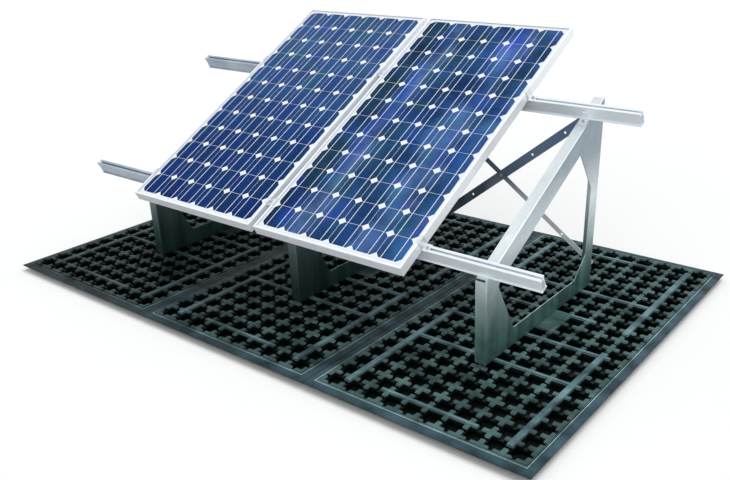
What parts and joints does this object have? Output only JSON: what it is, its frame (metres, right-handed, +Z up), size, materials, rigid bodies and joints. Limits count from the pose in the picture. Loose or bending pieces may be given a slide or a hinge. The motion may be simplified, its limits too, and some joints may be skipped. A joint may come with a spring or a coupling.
{
  "type": "solar ballast mount",
  "caption": "Ballasted flat-roof mount: moulded base boards, folded tilted supports, two rails and framed solar modules clamped on top.",
  "frame": {"origin": "centre of the base on the ground, under the middle board", "axes": "+X along the rails, +Y towards the high back of the modules, +Z up"},
  "size_m": [2.998, 2, 1.2079],
  "materials": {
    "board_plastic": "thermoformed near-black plastic, satin",
    "galvanised_sheet": "folded galvanised sheet, dull spangle",
    "module_frame": "natural anodised, satin",
    "module_glass": "clear tempered glass, smooth",
    "solar_cell": "dark blue silicon under glass, with silver lines",
    "backsheet": "white film, matt",
    "box_plastic": "moulded black plastic, matt",
    "rail_metal": "mill-finish extrusion",
    "clamp_metal": "plain, satin",
    "brace_steel": "dark slate-blue, satin",
    "fastener_steel": "zinc-plated"
  },
  "bodies": {
    "root": {"base_board_left": "board_plastic", "base_board_middle": "board_plastic", "base_board_right": "board_plastic", "support_frame_left": "galvanised_sheet", "support_frame_middle": "galvanised_sheet", "support_frame_right": "galvanised_sheet", "module_left_low_bar": "module_frame", "module_left_high_bar": "module_frame", "module_left_left_bar": "module_frame", "module_left_right_bar": "module_frame", "module_left_glass": "module_glass", "module_left_cells": "solar_cell", "module_left_backsheet": "backsheet", "module_left_junction_box": "box_plastic", "module_right_low_bar": "module_frame", "module_right_high_bar": "module_frame", "module_right_left_bar": "module_frame", "module_right_right_bar": "module_frame", "module_right_glass": "module_glass", "module_right_cells": "solar_cell", "module_right_backsheet": "backsheet", "module_right_junction_box": "box_plastic", "rail_lower": "rail_metal", "mid_clamp_lower": "clamp_metal", "end_clamp_lower_left": "clamp_metal", "end_clamp_lower_right": "clamp_metal", "rail_clamp_lower_left": "clamp_metal", "rail_clamp_lower_middle": "clamp_metal", "rail_clamp_lower_right": "clamp_metal", "rail_upper": "rail_metal", "mid_clamp_upper": "clamp_metal", "end_clamp_upper_left": "clamp_metal", "end_clamp_upper_right": "clamp_metal", "rail_clamp_upper_left": "clamp_metal", "rail_clamp_upper_middle": "clamp_metal", "rail_clamp_upper_right": "clamp_metal", "rail_clamp_bolts": "fastener_steel", "rail_clamp_nuts": "fastener_steel", "module_clamp_bolts": "fastener_steel", "channel_nuts": "fastener_steel", "base_bolts": "fastener_steel", "brace_bolts": "fastener_steel", "brace_nuts": "fastener_steel", "brace_spacers": "fastener_steel", "brace_long": "brace_steel", "brace_short": "brace_steel"}
  },
  "joints": []
}
